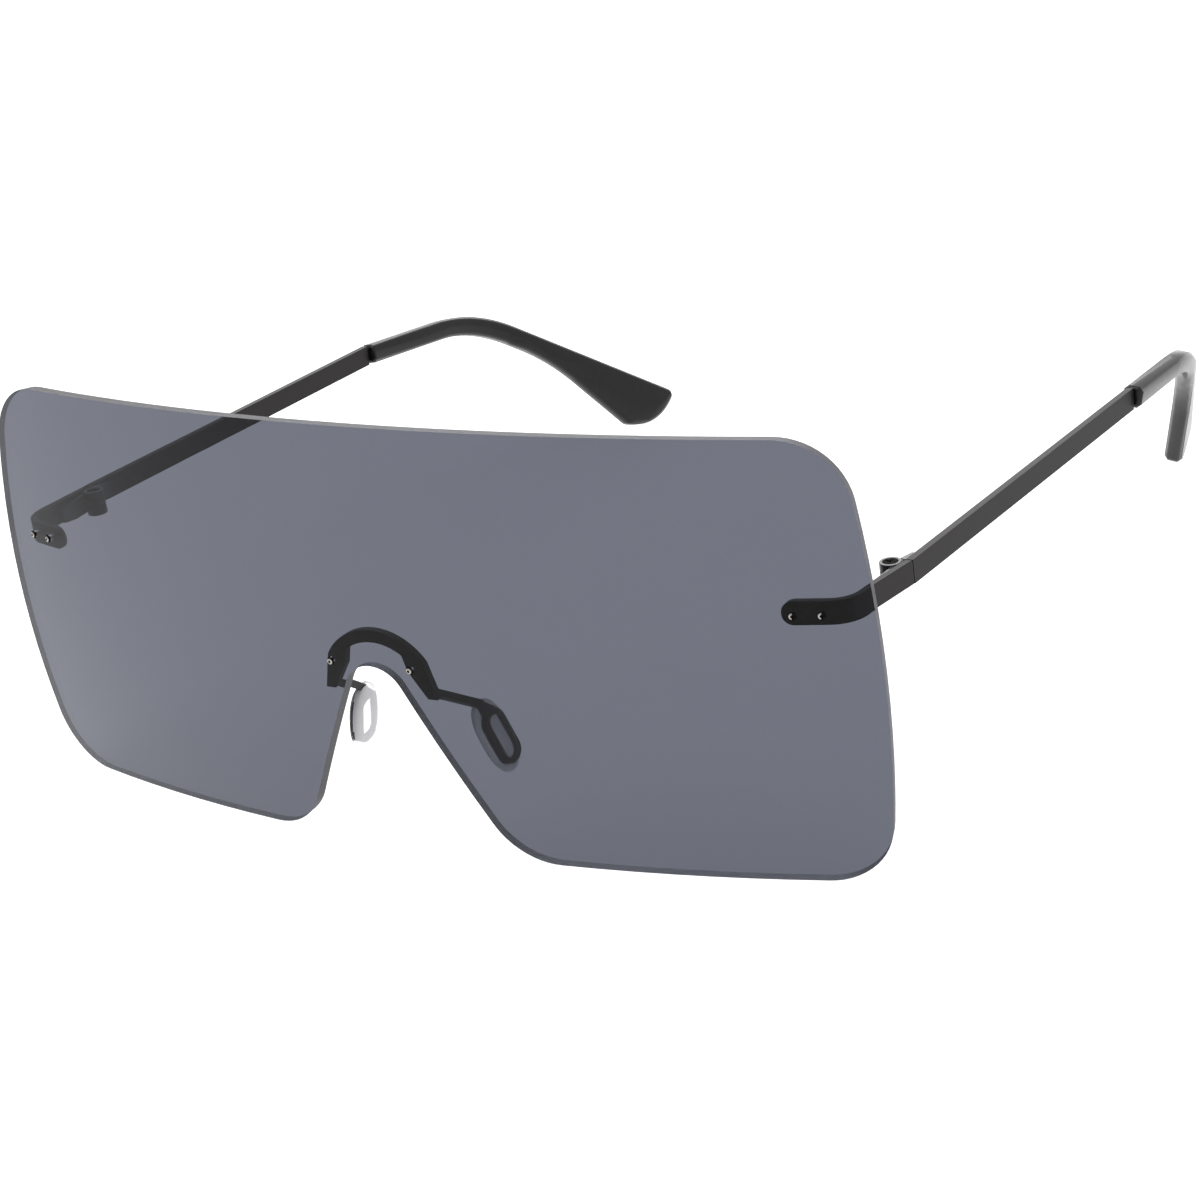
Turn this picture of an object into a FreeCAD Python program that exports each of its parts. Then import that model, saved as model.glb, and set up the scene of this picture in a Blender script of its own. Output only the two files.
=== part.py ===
import FreeCAD, Part
import math
import os

Vector = FreeCAD.Vector

# Rimless shield sunglasses in millimetres, standing open on a table as they are put down.
# +X is the wearer's left, +Y runs back along the temples, and +Z is up from the table.
# While the pieces are made, Y 0 is the lens's most forward point. save() then moves that
# point forwards by half the depth, so that the origin is under the middle of the part.

# Lens: one spherical shell for both eyes
LENS_WIDTH = 138.8
LENS_HEIGHT = 60.3
LENS_RADIUS = 235.0
LENS_THICKNESS = 1.8
OPTICAL_HEIGHT = 31.1
TOP_CROWN_RADIUS = 2300.0
SIDE_BOW_RADIUS = 140.0
SIDE_BOW_HEIGHT = 27.5
TOP_CORNER_RADIUS = 10.0
BOTTOM_CORNER_RADIUS = 9.0
LOBE_CORNER_RADIUS = 10.0
NOTCH_HEIGHT = 27.6
NOTCH_TOP_RADIUS = 4.9
NOTCH_HALF_ANGLE = 27.2

# Screws through the lens, each in a clear sleeve
SCREW_DIAMETER = 0.7
SCREW_HEAD_DIAMETER = 1.1
SCREW_HEAD_HEIGHT = 0.35
SCREW_HEAD_EDGE = 0.2
SLEEVE_WALL = 0.1
SLEEVE_CLEARANCE = 0.02
BRIDGE_SCREW_X = 6.3
BRIDGE_SCREW_RISE = 0.05
END_SCREW_INSET = 6.7
END_SCREW_SPACING = 3.5
END_SCREW_RISE = 0.35
SEAT_GAP = 0.08

# Bridge bracket: an arched plate behind the lens, measured from the top of the notch
BRACKET_THICKNESS = 1.0
ARCH_RISE = 4.6
ARCH_BAND = 1.75
SHOULDER_X = 7.6
SHOULDER_RISE = 0.4
FOOT_X = 8.9
FOOT_DROP = 4.6
FOOT_WIDTH = 1.5
BOSS_X = 4.95
BOSS_DROP = 0.8
SPRING_X = 4.4
SPRING_RISE = 1.4
BRACKET_CORNER_RADIUS = 0.5

# Pad arms and loops: flat strips folded back from the feet, in one leaning plane each side
LOOP_SPREAD = 11.3
LOOP_BACK = 11.3
LOOP_DROP = 13.8
LOOP_LEAN_OUT = 16.5
LOOP_LEAN_FORWARD = 9.4
LOOP_LENGTH = 7.9
LOOP_WIDTH = 4.1
LOOP_BAND = 0.7
LOOP_CORNER_RADIUS = 1.8
ARM_STRIP_WIDTH = 1.05
ARM_KNEE_U = -0.6
ARM_KNEE_V = 5.6
ARM_KNEE_RADIUS = 2.2
SPADE_WIDTH = 2.4

# Nose pads: clear soft slip-on pads
PAD_LENGTH = 10.9
PAD_WIDTH = 5.4
PAD_THICKNESS = 2.6
PAD_CORNER_RADIUS = 2.5
PAD_EDGE_BEVEL = 0.9
PAD_SHIFT_U = -0.6
PAD_SHIFT_V = 0.6
PAD_SHIFT_W = -0.2
PAD_CLEARANCE = 0.05

# End pieces: plates behind the lens, bent back into arms
STRIP_HEIGHT = 3.2
STRIP_THICKNESS = 1.0
PLATE_CENTRE_Z = 37.1
PLATE_END_INSET = 12.4
PLATE_END_RADIUS = 1.5
BEND_RADIUS = 4.5
ARM_INSET = 2.4
ARM_SPLAY = 4.6
SPLIT_Y = 25.6
BUTT_GAP = 0.1

# Temples: flat strips with a narrow core that goes into the tip
STRIP_DROP = 0.7
TEMPLE_LENGTH = 73.7
TEMPLE_SPLAY = 0.96
TEMPLE_SLOPE = 2.65
NECK_GAP = 0.8
CORE_HEIGHT = 1.9
CORE_THICKNESS = 0.8
CORE_LENGTH = 14.0
CORE_ROOT = 0.8
CORE_CLEARANCE = 0.05

# Hinges: three knuckles on a screw
KNUCKLE_DIAMETER = 2.9
KNUCKLE_STACK = 3.6
KNUCKLE_GAP = 0.06
HINGE_SET_FORWARD = 0.85
HINGE_SIDE_GAP = 0.12
HINGE_DROP = 0.2
LEAF_THICKNESS = 0.9
LEAF_CLEARANCE = 0.15
LEAF_MARGIN = 0.25
FRONT_LEAF_LENGTH = 7.6
FRONT_LEAF_STEP = 2.6
TEMPLE_LEAF_LENGTH = 3.6
TEMPLE_LEAF_END = 2.0
HINGE_SCREW_DIAMETER = 1.2
HINGE_SCREW_CLEARANCE = 0.05
HINGE_HEAD_DIAMETER = 1.9
HINGE_HEAD_HEIGHT = 0.5
HINGE_HEAD_CLEARANCE = 0.05
RECESS_WIDTH = 0.3
RECESS_LENGTH = 1.3
RECESS_DEPTH = 0.3

# Temple tips: plastic sleeves that bend down and in to the table, and flare to a paddle
TIP_THICKNESS = 2.9
TIP_HEIGHT = 3.2
TIP_EDGE_BEVEL = 0.65
TIP_MOUTH_BEVEL = 0.3
TIP_DROOP = 3.75
TIP_TOE_IN = 4.9
TIP_STRAIGHT = 28.3
TIP_BEND_RADIUS = 32.5
TIP_ROLL = 19.0
TIP_LENGTH = 49.4
TIP_INSET = 15.8
TIP_END_LIFT = 2.1
TIP_END_LENGTH = 13.4
TIP_END_ANGLE = 43.2
TIP_END_BULGE = 2.2
TIP_FLARE_ANGLE = 16.6
TIP_FLARE_RADIUS = 46.0
TIP_LOW_RADIUS = 2.4
TIP_BACK_RADIUS = 1.1

# Room beyond the part for cutting tools, and how near two measures are when they are the same
REACH = 40.0
SAME = 0.01

LENS_CENTRE = Vector(0, LENS_RADIUS, OPTICAL_HEIGHT)
REAR_RADIUS = LENS_RADIUS - LENS_THICKNESS
PLATE_RADIUS = REAR_RADIUS - SEAT_GAP
PLATE_TOP_Z = PLATE_CENTRE_Z + STRIP_HEIGHT / 2
PLATE_BOTTOM_Z = PLATE_CENTRE_Z - STRIP_HEIGHT / 2
PLATE_RISE = max(abs(PLATE_TOP_Z - OPTICAL_HEIGHT), abs(PLATE_BOTTOM_Z - OPTICAL_HEIGHT))
PLAN_RADIUS = math.sqrt(PLATE_RADIUS ** 2 - PLATE_RISE ** 2)
ARM_X = LENS_WIDTH / 2 - ARM_INSET
STRIP_CENTRE_Z = PLATE_CENTRE_Z - STRIP_DROP
STRIP_BOTTOM_Z = STRIP_CENTRE_Z - STRIP_HEIGHT / 2
X_AXIS = Vector(1, 0, 0)
Y_AXIS = Vector(0, 1, 0)
Z_AXIS = Vector(0, 0, 1)


def unit(vector):
    """The vector at length 1."""
    return vector * (1.0 / vector.Length)


def frame(base, across, along):
    """A placement at base whose local X is across and whose local Y is nearest to along."""
    normal = unit(across.cross(along))
    return FreeCAD.Placement(base, FreeCAD.Rotation(across, normal.cross(across), normal, "ZXY"))


def polygon(points):
    """A flat face with straight edges."""
    return Part.Face(Part.makePolygon(points + points[:1]))


def rounded_wire(width, height, radius):
    """A rounded rectangle about the origin in the XY plane, width along X."""
    half_x = width / 2
    half_y = height / 2
    slant = radius * (1 - math.sqrt(0.5))
    edges = []
    corners = [(1, 1), (-1, 1), (-1, -1), (1, -1)]
    for turn, (sx, sy) in enumerate(corners):
        on_side = Vector(sx * half_x, sy * (half_y - radius), 0)
        on_end = Vector(sx * (half_x - radius), sy * half_y, 0)
        middle = Vector(sx * (half_x - slant), sy * (half_y - slant), 0)
        start, stop = (on_side, on_end) if turn % 2 == 0 else (on_end, on_side)
        next_sx, next_sy = corners[(turn + 1) % 4]
        if turn % 2 == 0:
            following = Vector(next_sx * (half_x - radius), next_sy * half_y, 0)
        else:
            following = Vector(next_sx * half_x, next_sy * (half_y - radius), 0)
        edges.append(Part.Arc(start, middle, stop).toShape())
        edges.append(Part.LineSegment(stop, following).toShape())
    return Part.Wire(edges)


def bevelled_section(width, height, bevel):
    """A rectangle about the origin in the XY plane with its corners cut off, width along X."""
    half_x = width / 2
    half_y = height / 2
    points = []
    for sx, sy in ((1, 1), (-1, 1), (-1, -1), (1, -1)):
        on_side = Vector(sx * half_x, sy * (half_y - bevel), 0)
        on_end = Vector(sx * (half_x - bevel), sy * half_y, 0)
        points += [on_side, on_end] if sx == sy else [on_end, on_side]
    return polygon(points)


def edges_at(shape, x, z):
    """The edges of a shape that run along Y at this x and z."""
    found = []
    for edge in shape.Edges:
        first = edge.Vertexes[0].Point
        last = edge.Vertexes[-1].Point
        runs_back = abs(last.y - first.y) > REACH
        if runs_back and math.hypot(first.x - x, first.z - z) < SAME:
            found.append(edge)
    return found


def prism_along_y(edges, rounded):
    """Extrudes an outline in the XZ plane along Y and rounds its corners, given as (x, z, radius)."""
    face = Part.Face(Part.Wire(edges))
    face.translate(Vector(0, -REACH, 0))
    prism = face.extrude(Vector(0, 2 * REACH, 0))
    for x, z, radius in rounded:
        prism = prism.makeFillet(radius, edges_at(prism, x, z))
    return prism


def shell_piece(prism, radius, thickness):
    """The part of the sphere of this radius inside the prism, thickened towards the eyes."""
    sphere = Part.makeSphere(radius, LENS_CENTRE)
    patch = sphere.Faces[0].common(prism)
    return patch.Faces[0].makeOffsetShape(-thickness, SAME * SAME, fill=True)


def on_lens(x, z):
    """The point of the lens's front surface at this x and z."""
    rise = z - OPTICAL_HEIGHT
    return Vector(x, LENS_RADIUS - math.sqrt(LENS_RADIUS ** 2 - x ** 2 - rise ** 2), z)


def pin_through_lens(place, diameter, start, stop):
    """A cylinder square to the lens at a place, from start to stop behind its front surface."""
    inwards = unit(LENS_CENTRE - place)
    return Part.makeCylinder(diameter / 2, stop - start, place + inwards * start, inwards)


def mirrored(shape):
    """The same piece for the wearer's right."""
    return shape.mirror(Vector(0, 0, 0), X_AXIS)


# Where the screws go
BRIDGE_SCREW_Z = NOTCH_HEIGHT + BRIDGE_SCREW_RISE
END_SCREW_OUTER_X = LENS_WIDTH / 2 - END_SCREW_INSET
END_SCREW_INNER_X = END_SCREW_OUTER_X - END_SCREW_SPACING
END_SCREW_Z = PLATE_CENTRE_Z + END_SCREW_RISE
BRIDGE_PLACES = [on_lens(x, BRIDGE_SCREW_Z) for x in (-BRIDGE_SCREW_X, BRIDGE_SCREW_X)]
END_PLACES = [on_lens(x, END_SCREW_Z) for x in (END_SCREW_INNER_X, END_SCREW_OUTER_X)]
SLEEVE_BORE = SCREW_DIAMETER + 2 * SLEEVE_CLEARANCE
SLEEVE_DIAMETER = SLEEVE_BORE + 2 * SLEEVE_WALL
LENS_HOLE = SLEEVE_DIAMETER + 2 * SLEEVE_CLEARANCE
SCREW_REACH = LENS_THICKNESS + SEAT_GAP + 2 * max(BRACKET_THICKNESS, STRIP_THICKNESS)


def side_bow(z):
    """Half the lens's width at height z: a long arc, widest at the bow height."""
    rise = z - SIDE_BOW_HEIGHT
    return LENS_WIDTH / 2 - SIDE_BOW_RADIUS + math.sqrt(SIDE_BOW_RADIUS ** 2 - rise ** 2)


def make_lens():
    """The shield: crowned top, bowed sides, two lobes and a rounded notch for the nose."""
    half_angle = math.radians(NOTCH_HALF_ANGLE)
    sharp_apex = NOTCH_HEIGHT + NOTCH_TOP_RADIUS * (1 / math.sin(half_angle) - 1)
    lobe_x = sharp_apex * math.tan(half_angle)
    corner_z = LENS_HEIGHT - (LENS_WIDTH / 2) ** 2 / (2 * TOP_CROWN_RADIUS)
    corner_x = side_bow(corner_z)
    bottom_x = side_bow(0)
    top_left = Vector(-corner_x, 0, corner_z)
    top_right = Vector(corner_x, 0, corner_z)
    widest = Vector(LENS_WIDTH / 2, 0, SIDE_BOW_HEIGHT)
    widest_mirrored = Vector(-LENS_WIDTH / 2, 0, SIDE_BOW_HEIGHT)
    low = [Vector(x, 0, 0) for x in (bottom_x, lobe_x, -lobe_x, -bottom_x)]
    apex = Vector(0, 0, sharp_apex)
    edges = [
        Part.Arc(top_left, Vector(0, 0, LENS_HEIGHT), top_right).toShape(),
        Part.Arc(top_right, widest, low[0]).toShape(),
        Part.LineSegment(low[0], low[1]).toShape(),
        Part.LineSegment(low[1], apex).toShape(),
        Part.LineSegment(apex, low[2]).toShape(),
        Part.LineSegment(low[2], low[3]).toShape(),
        Part.Arc(low[3], widest_mirrored, top_left).toShape(),
    ]
    rounded = [(0, sharp_apex, NOTCH_TOP_RADIUS)]
    for side in (1, -1):
        rounded.append((side * corner_x, corner_z, TOP_CORNER_RADIUS))
        rounded.append((side * bottom_x, 0, BOTTOM_CORNER_RADIUS))
        rounded.append((side * lobe_x, 0, LOBE_CORNER_RADIUS))
    lens = shell_piece(prism_along_y(edges, rounded), LENS_RADIUS, LENS_THICKNESS)
    places = BRIDGE_PLACES + END_PLACES + [Vector(-p.x, p.y, p.z) for p in END_PLACES]
    holes = [pin_through_lens(p, LENS_HOLE, -REACH, REACH) for p in places]
    return lens.cut(Part.makeCompound(holes)).Solids[0]


def make_screws(places, plate_thickness):
    """Screws with a bevelled head, from the lens's front to the plate's back."""
    screws = []
    length = LENS_THICKNESS + SEAT_GAP + plate_thickness
    for place in places:
        shank = pin_through_lens(place, SCREW_DIAMETER, 0, length)
        head = pin_through_lens(place, SCREW_HEAD_DIAMETER, -SCREW_HEAD_HEIGHT, 0)
        rim = min(head.Edges, key=lambda edge: edge.CenterOfMass.y)
        head = head.makeChamfer(SCREW_HEAD_EDGE, [rim])
        screws.append(head.fuse(shank).removeSplitter().Solids[0])
    return Part.makeCompound(screws)


def make_sleeves(places):
    """Clear tubes between the screws and the drilled lens."""
    sleeves = []
    for place in places:
        tube = pin_through_lens(place, SLEEVE_DIAMETER, 0, LENS_THICKNESS)
        sleeves.append(tube.cut(pin_through_lens(place, SLEEVE_BORE, 0, LENS_THICKNESS)))
    return Part.makeCompound([sleeve.Solids[0] for sleeve in sleeves])


def loop_frame():
    """The leaning plane of the left pad arm: local X runs back and local Y runs up the loop."""
    lean_out = math.tan(math.radians(LOOP_LEAN_OUT))
    lean_forward = math.tan(math.radians(LOOP_LEAN_FORWARD))
    up = unit(Vector(-lean_out, -lean_forward, 1))
    centre = Vector(LOOP_SPREAD, LOOP_BACK, NOTCH_HEIGHT - LOOP_DROP)
    normal = unit(up.cross(foot_point() - centre))
    return frame(centre, unit(up.cross(normal)), up)


def foot_point():
    """The middle of the left foot of the bridge, inside the plate's thickness."""
    x = FOOT_X - FOOT_WIDTH / 2
    surface = on_lens(x, NOTCH_HEIGHT - FOOT_DROP + FOOT_WIDTH / 2)
    depth = LENS_THICKNESS + SEAT_GAP + BRACKET_THICKNESS / 2
    return surface + unit(LENS_CENTRE - surface) * depth


def flat_bar(start, stop, start_width, stop_width):
    """A straight bar in the XY plane that tapers from one width to another."""
    along = unit(stop - start)
    side = Z_AXIS.cross(along)
    first = [start + side * (start_width / 2), start - side * (start_width / 2)]
    second = [stop - side * (stop_width / 2), stop + side * (stop_width / 2)]
    return polygon(first + second)


def knee_bend(start, knee, stop):
    """Where a pad arm's bend starts and stops, its centre, and the way from the knee to that."""
    before = unit(knee - start)
    after = unit(stop - knee)
    turn = before.getAngle(after)
    tangent = ARM_KNEE_RADIUS * math.tan(turn / 2)
    bend_start = knee - before * tangent
    bend_stop = knee + after * tangent
    towards = unit(after - before)
    centre = knee + towards * (ARM_KNEE_RADIUS / math.cos(turn / 2))
    return bend_start, bend_stop, centre, towards


def bend_face(bend_start, bend_stop, centre, towards, width):
    """The bend at the knee: a band of this width between two arcs about the centre."""
    first = unit(bend_start - centre)
    last = unit(bend_stop - centre)
    inner = ARM_KNEE_RADIUS - width / 2
    outer = ARM_KNEE_RADIUS + width / 2
    edges = [
        Part.Arc(centre + first * inner, centre - towards * inner, centre + last * inner).toShape(),
        Part.LineSegment(centre + last * inner, centre + last * outer).toShape(),
        Part.Arc(centre + last * outer, centre - towards * outer, centre + first * outer).toShape(),
        Part.LineSegment(centre + first * outer, centre + first * inner).toShape(),
    ]
    return Part.Face(Part.Wire(edges))


def make_pad_arm(clearance):
    """The left arm from foot to knee, the spade below the knee and the closed loop."""
    place = loop_frame()
    foot = place.inverse().multVec(foot_point())
    foot.z = 0
    knee = Vector(ARM_KNEE_U, ARM_KNEE_V, 0)
    seat = Vector(0, (LOOP_LENGTH - LOOP_BAND) / 2, 0)
    bend_start, bend_stop, centre, towards = knee_bend(foot, knee, seat)
    grown = 2 * clearance
    ring_wire = rounded_wire(LOOP_WIDTH + grown, LOOP_LENGTH + grown, LOOP_CORNER_RADIUS + clearance)
    window_wire = rounded_wire(
        LOOP_WIDTH - 2 * LOOP_BAND - grown,
        LOOP_LENGTH - 2 * LOOP_BAND - grown,
        LOOP_CORNER_RADIUS - LOOP_BAND - clearance,
    )
    width = ARM_STRIP_WIDTH + grown
    shapes = [
        flat_bar(foot, bend_start, width, width),
        bend_face(bend_start, bend_stop, centre, towards, width),
        flat_bar(bend_stop, seat, width, SPADE_WIDTH + grown),
        Part.Face(ring_wire).cut(Part.Face(window_wire)).Faces[0],
    ]
    thickness = BRACKET_THICKNESS + grown
    solids = []
    for shape in shapes:
        shape.translate(Vector(0, 0, -thickness / 2))
        solids.append(shape.extrude(Vector(0, 0, thickness)))
    arm = solids[0].fuse(solids[1:]).removeSplitter()
    arm.Placement = place
    return arm


def make_bracket():
    """The bridge: an arch over the notch, a leg each side, and the folded pad arms."""
    top = NOTCH_HEIGHT + ARCH_RISE
    shoulder_z = NOTCH_HEIGHT + SHOULDER_RISE
    foot_z = NOTCH_HEIGHT - FOOT_DROP
    boss_z = NOTCH_HEIGHT - BOSS_DROP
    spring_z = NOTCH_HEIGHT + SPRING_RISE
    shoulders = [Vector(-SHOULDER_X, 0, shoulder_z), Vector(SHOULDER_X, 0, shoulder_z)]
    springs = [Vector(SPRING_X, 0, spring_z), Vector(-SPRING_X, 0, spring_z)]
    right_leg = [
        shoulders[1],
        Vector(FOOT_X, 0, foot_z),
        Vector(FOOT_X - FOOT_WIDTH, 0, foot_z),
        Vector(BOSS_X, 0, boss_z),
        springs[0],
    ]
    left_leg = [Vector(-p.x, 0, p.z) for p in reversed(right_leg)]
    edges = [Part.Arc(shoulders[0], Vector(0, 0, top), shoulders[1]).toShape()]
    edges += [Part.LineSegment(a, b).toShape() for a, b in zip(right_leg, right_leg[1:])]
    edges.append(Part.Arc(springs[0], Vector(0, 0, top - ARCH_BAND), springs[1]).toShape())
    edges += [Part.LineSegment(a, b).toShape() for a, b in zip(left_leg, left_leg[1:])]
    rounded = []
    for side in (1, -1):
        rounded.append((side * SHOULDER_X, shoulder_z, BRACKET_CORNER_RADIUS))
        rounded.append((side * BOSS_X, boss_z, BRACKET_CORNER_RADIUS))
    plate = shell_piece(prism_along_y(edges, rounded), PLATE_RADIUS, BRACKET_THICKNESS)
    arm = make_pad_arm(0)
    bracket = plate.fuse([arm, mirrored(arm)]).removeSplitter()
    holes = [pin_through_lens(p, SLEEVE_BORE, 0, SCREW_REACH) for p in BRIDGE_PLACES]
    lens_side = Part.makeSphere(LENS_RADIUS + REACH, LENS_CENTRE)
    lens_side = lens_side.cut(Part.makeSphere(PLATE_RADIUS, LENS_CENTRE))
    return bracket.cut(Part.makeCompound(holes)).cut(lens_side).Solids[0]


def make_pad():
    """The left nose pad: a soft oval with bevelled edges and a pocket for the loop."""
    face = Part.Face(rounded_wire(PAD_WIDTH, PAD_LENGTH, PAD_CORNER_RADIUS))
    face.translate(Vector(PAD_SHIFT_U, PAD_SHIFT_V, PAD_SHIFT_W - PAD_THICKNESS / 2))
    pad = face.extrude(Vector(0, 0, PAD_THICKNESS))
    faces = [f for f in pad.Faces if abs(f.normalAt(0, 0).z) > math.sqrt(0.5)]
    rims = [edge for f in faces for edge in f.Edges]
    pad = pad.makeChamfer(PAD_EDGE_BEVEL, rims)
    pad.Placement = loop_frame()
    return pad.cut(make_pad_arm(PAD_CLEARANCE)).Solids[0]


def arm_bend():
    """The bend of the left end piece in plan: its centre, and the unit vector along its arm."""
    splay = math.radians(ARM_SPLAY)
    along = Vector(math.sin(splay), math.cos(splay), 0)
    inwards = Vector(-along.y, along.x, 0)
    anchor = Vector(ARM_X, SPLIT_Y, 0) + inwards * BEND_RADIUS
    offset = anchor - Vector(0, LENS_RADIUS, 0)
    reach = PLAN_RADIUS - BEND_RADIUS
    projection = offset.dot(along)
    root = math.sqrt(projection ** 2 - offset.dot(offset) + reach ** 2)
    return anchor + along * (-projection - root), along


def strip_line(inset):
    """The left end piece's face in plan, at this depth into the strip, from plate to split."""
    centre, along = arm_bend()
    middle = Vector(0, LENS_RADIUS, 0)
    inwards = Vector(-along.y, along.x, 0)
    radius = PLAN_RADIUS - inset
    start_x = LENS_WIDTH / 2 - PLATE_END_INSET
    start = middle + Vector(start_x, -math.sqrt(radius ** 2 - start_x ** 2), 0)
    outwards = unit(centre - middle)
    bend_start = middle + outwards * radius
    bend_stop = centre - inwards * (BEND_RADIUS - inset)
    bend_middle = centre + unit(outwards - inwards) * (BEND_RADIUS - inset)
    plate_middle = middle + unit(start - middle + bend_start - middle) * radius
    stop = bend_stop + along * ((SPLIT_Y - bend_stop.y) / along.y)
    edges = [
        Part.Arc(start, plate_middle, bend_start).toShape(),
        Part.Arc(bend_start, bend_middle, bend_stop).toShape(),
        Part.LineSegment(bend_stop, stop).toShape(),
    ]
    return edges, start, stop


def make_end_piece():
    """The left end piece: a plate with a round end, bent behind the lens into a tapered arm."""
    outer, outer_start, outer_stop = strip_line(0)
    inner, inner_start, inner_stop = strip_line(STRIP_THICKNESS)
    ends = [
        Part.LineSegment(outer_stop, inner_stop).toShape(),
        Part.LineSegment(inner_start, outer_start).toShape(),
    ]
    plan = Part.Face(Part.Wire(Part.__sortEdges__(outer + inner + ends)))
    blank = plan.extrude(Vector(0, 0, LENS_HEIGHT))
    bend_y = arm_bend()[0].y
    side = polygon([
        Vector(0, 0, PLATE_BOTTOM_Z),
        Vector(0, bend_y, PLATE_BOTTOM_Z),
        Vector(0, SPLIT_Y, STRIP_BOTTOM_Z),
        Vector(0, SPLIT_Y, STRIP_BOTTOM_Z + STRIP_HEIGHT),
        Vector(0, bend_y, PLATE_TOP_Z),
        Vector(0, 0, PLATE_TOP_Z),
    ])
    piece = blank.common(side.extrude(Vector(LENS_WIDTH, 0, 0)))
    end_x = LENS_WIDTH / 2 - PLATE_END_INSET
    across = [
        edge for edge in piece.Edges
        if max(v.Point.x for v in edge.Vertexes) < end_x + STRIP_THICKNESS / 2
        and abs(edge.Vertexes[0].Point.z - edge.Vertexes[-1].Point.z) < SAME
    ]
    piece = piece.makeFillet(PLATE_END_RADIUS, across)
    holes = [pin_through_lens(p, SLEEVE_BORE, 0, SCREW_REACH) for p in END_PLACES]
    return piece.cut(Part.makeCompound(holes)).Solids[0]


def temple_frame():
    """The left temple's own frame: X out of its outer face, Y along it and Z up its height."""
    splay = math.radians(TEMPLE_SPLAY)
    slope = math.radians(TEMPLE_SLOPE)
    out = Vector(math.cos(splay), -math.sin(splay), 0)
    flat = Vector(math.sin(splay), math.cos(splay), 0)
    along = flat * math.cos(slope) - Z_AXIS * math.sin(slope)
    return frame(Vector(ARM_X, SPLIT_Y, STRIP_BOTTOM_Z), out, along)


def sleeve_frame():
    """The left tip's frame at the middle of its mouth, toed in and drooped from the temple."""
    place = temple_frame()
    mouth = place.multVec(Vector(-STRIP_THICKNESS / 2, TEMPLE_LENGTH, STRIP_HEIGHT / 2))
    splay = math.radians(TEMPLE_SPLAY - TIP_TOE_IN)
    slope = math.radians(TEMPLE_SLOPE + TIP_DROOP)
    out = Vector(math.cos(splay), -math.sin(splay), 0)
    flat = Vector(math.sin(splay), math.cos(splay), 0)
    return frame(mouth, out, flat * math.cos(slope) - Z_AXIS * math.sin(slope))


def make_core(clearance):
    """The temple's narrow core, from its root in the strip, or with clearance the slot in the tip."""
    thickness = CORE_THICKNESS + 2 * clearance
    height = CORE_HEIGHT + 2 * clearance
    back = NECK_GAP + CORE_ROOT
    corner = Vector(-thickness / 2, -back, -height / 2)
    core = Part.makeBox(thickness, back + CORE_LENGTH + clearance, height, corner)
    core.Placement = sleeve_frame()
    return core


def make_temple():
    """The left temple: a flat strip cut square at the hinge, and the core at its back end."""
    strip = Part.makeBox(STRIP_THICKNESS, TEMPLE_LENGTH - NECK_GAP + STRIP_HEIGHT, STRIP_HEIGHT)
    strip.translate(Vector(-STRIP_THICKNESS, -STRIP_HEIGHT, 0))
    strip.Placement = temple_frame().multiply(strip.Placement)
    room = Part.makeBox(REACH, REACH, REACH, Vector(ARM_X - REACH / 2, 0, STRIP_CENTRE_Z - REACH / 2))
    room.translate(Vector(0, SPLIT_Y + BUTT_GAP - REACH, 0))
    return strip.fuse(make_core(0)).removeSplitter().cut(room).Solids[0]


def arm_inner_x(y):
    """Where the left arm's inner face is at this y."""
    splay = math.radians(ARM_SPLAY)
    return ARM_X - (SPLIT_Y - y) * math.tan(splay) - STRIP_THICKNESS / math.cos(splay)


def temple_inner_x(y):
    """Where the left temple's inner face is at this y."""
    splay = math.radians(TEMPLE_SPLAY)
    return ARM_X + (y - SPLIT_Y) * math.tan(splay) - STRIP_THICKNESS / math.cos(splay)


def hinge_axis():
    """The point of the left hinge's axis at the middle of its knuckles."""
    y = SPLIT_Y - HINGE_SET_FORWARD
    x = arm_inner_x(y) - HINGE_SIDE_GAP - KNUCKLE_DIAMETER / 2
    return Vector(x, y, STRIP_CENTRE_Z - HINGE_DROP)


def stack_cylinder(diameter, low_share, high_share, trim):
    """A cylinder on the hinge's axis between two shares of the knuckle stack, trimmed each end."""
    axis = hinge_axis()
    low = axis.z + (low_share - 0.5) * KNUCKLE_STACK + trim
    high = axis.z + (high_share - 0.5) * KNUCKLE_STACK - trim
    return Part.makeCylinder(diameter / 2, high - low, Vector(axis.x, axis.y, low))


def pin_hole():
    """The hole through all three knuckles."""
    diameter = HINGE_SCREW_DIAMETER + 2 * HINGE_SCREW_CLEARANCE
    return stack_cylinder(diameter, 0, 1, -KNUCKLE_GAP)


def head_seat(clearance):
    """The head of the hinge screw, or with clearance the seat sunk in the top knuckle."""
    axis = hinge_axis()
    top = axis.z + KNUCKLE_STACK / 2
    diameter = HINGE_HEAD_DIAMETER + 2 * clearance
    floor = Vector(axis.x, axis.y, top - HINGE_HEAD_HEIGHT)
    return Part.makeCylinder(diameter / 2, HINGE_HEAD_HEIGHT, floor)


def leaf_plate(outline, face_x):
    """A leaf from its side outline as (y, z) points, flat on the face that face_x gives."""
    face = polygon([Vector(face_x(y), y, z) for y, z in outline])
    return face.extrude(Vector(-LEAF_THICKNESS, 0, 0))


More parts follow.
